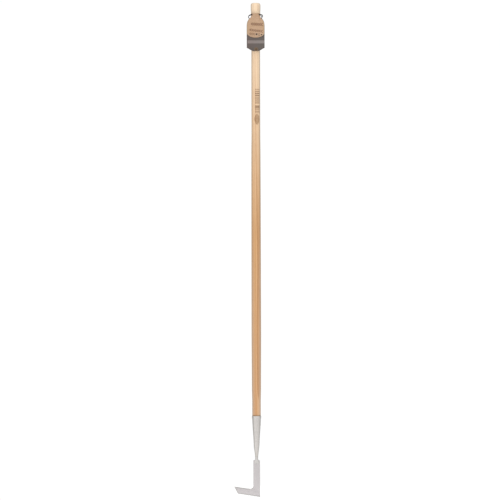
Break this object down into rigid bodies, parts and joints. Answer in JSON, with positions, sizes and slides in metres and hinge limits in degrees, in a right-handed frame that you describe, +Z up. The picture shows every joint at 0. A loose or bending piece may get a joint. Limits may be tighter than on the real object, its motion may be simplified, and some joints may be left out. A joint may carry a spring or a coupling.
{
  "type": "stand up weeder",
  "caption": "Long-handled weeder with a round ash handle, a tapered stainless socket and a flat L-shaped hook blade for joints and edges, with a hang tag.",
  "frame": {"origin": "on the handle's axis in the middle of the straight grip, where a rack clip holds the tool; the blade's lowest corner is 1.270 m below it", "axes": "+Z up along the handle towards its top, -X the way the blade's hook points, -Y out of the tag's front"},
  "size_m": [0.0983, 0.0415, 1.55],
  "materials": {
    "ash": "planed ash under a thin satin lacquer",
    "stainless": "satin ground stainless",
    "dark_card": "matt printed card",
    "kraft": "uncoated kraft card",
    "elastic": "braided elastic cord"
  },
  "bodies": {
    "root": {"ash_handle": "ash", "handle_socket": "stainless", "socket_screw": "stainless", "socket_weld": "stainless", "neck_rod": "stainless", "blade_weld": "stainless", "l_blade": "stainless"},
    "tag_loop": {"elastic_cord": "elastic"},
    "tag": {"backing_card": "dark_card", "kraft_label": "kraft", "cord_knots": "elastic"}
  },
  "joints": [
    {"name": "tag_turn", "type": "hinge", "parent": "root", "child": "tag_loop", "pos_m": [0, 0, 0.2426], "axis": [0, 0, 1], "continuous": true},
    {"name": "tag_swing", "type": "hinge", "parent": "tag_loop", "child": "tag", "pos_m": [0, -0.0176, 0.2426], "axis": [-1, 0, 0], "range_deg": [0, 60]}
  ]
}
